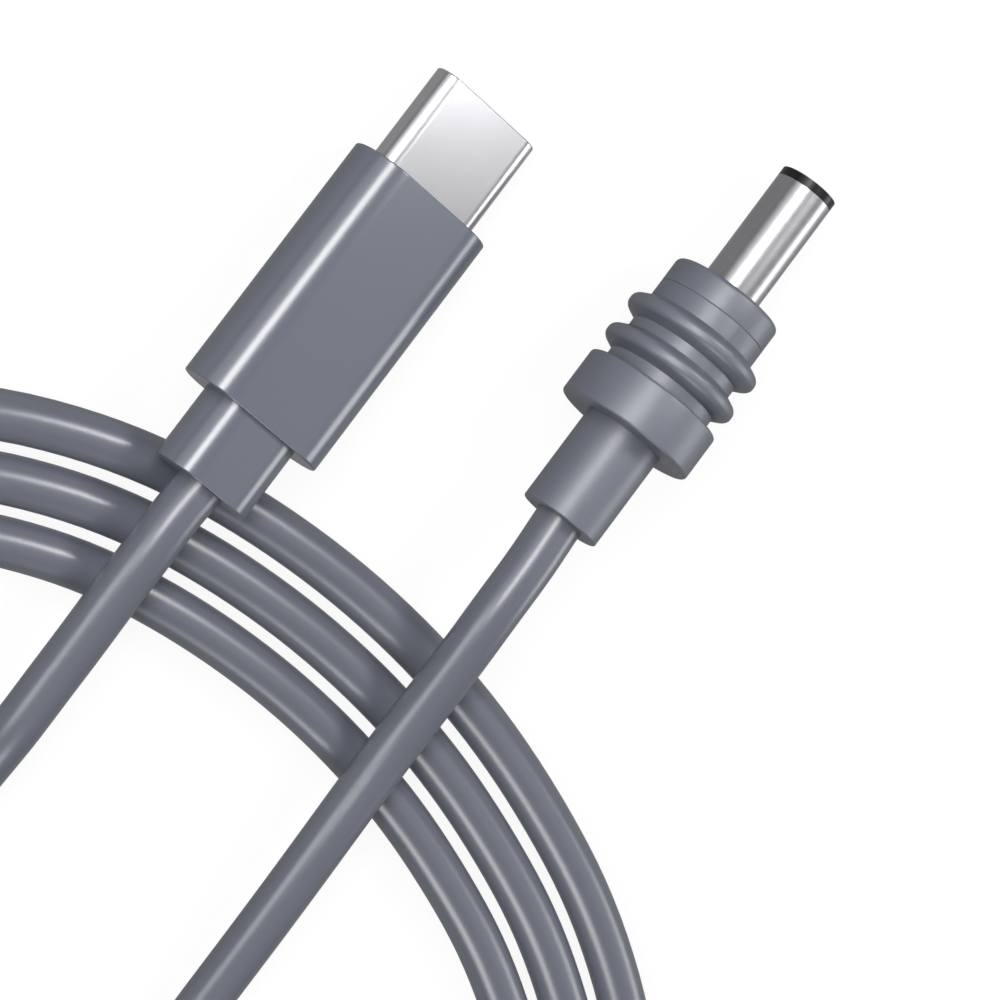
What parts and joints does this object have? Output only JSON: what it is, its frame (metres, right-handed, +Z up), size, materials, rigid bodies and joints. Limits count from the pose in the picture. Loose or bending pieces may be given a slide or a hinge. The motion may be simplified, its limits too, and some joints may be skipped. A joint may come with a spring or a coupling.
{
  "type": "usb-c to dc cable",
  "caption": "Grey power cable with a USB-C plug at one end and a barrel DC plug with two sealing ribs at the other, its slack wound in a flat oval coil.",
  "frame": {"origin": "on the floor, below the middle of the box round the two plugs", "axes": "+X along both plugs towards their tips, +Y from the DC plug towards the USB plug, +Z up"},
  "size_m": [0.0942, 0.0893, 0.0106],
  "materials": {
    "plug_moulding": "moulded satin, blue-grey",
    "dc_moulding": "moulded satin, grey",
    "cable_jacket": "extruded satin, blue-grey",
    "steel_shell": "drawn and tumbled nickel-plated steel",
    "barrel_metal": "turned and polished nickel plate",
    "black_plastic": "moulded black",
    "contact_gold": "gold-plated contact metal",
    "spring_steel": "stamped spring steel",
    "board_laminate": "green solder mask on laminate",
    "capacitor_ceramic": "fired tan ceramic",
    "tab_metal": "stamped and tinned tab",
    "positive_wire": "red insulation with tinned end",
    "negative_wire": "black insulation with tinned end",
    "inner_mould": "low-pressure moulding, off-white"
  },
  "bodies": {
    "root": {"usb_overmould": "plug_moulding", "usb_shell": "steel_shell", "usb_contact_block": "black_plastic", "usb_upper_contacts": "contact_gold", "usb_lower_contacts": "contact_gold", "usb_latch_plate": "spring_steel", "usb_ground_springs": "spring_steel", "usb_board": "board_laminate", "usb_pd_chip": "black_plastic", "usb_capacitors": "capacitor_ceramic", "usb_positive_wire": "positive_wire", "usb_negative_wire": "negative_wire", "usb_inner_mould": "inner_mould", "dc_body": "dc_moulding", "dc_seal_sleeve": "dc_moulding", "dc_barrel": "barrel_metal", "dc_tip_insulator": "black_plastic", "dc_centre_contact": "contact_gold", "dc_rear_insulator": "inner_mould", "dc_sleeve_tab": "tab_metal", "dc_positive_wire": "positive_wire", "dc_negative_wire": "negative_wire", "dc_inner_mould": "inner_mould", "usb_lead": "cable_jacket", "cable_coil": "cable_jacket", "dc_lead": "cable_jacket"}
  },
  "joints": []
}
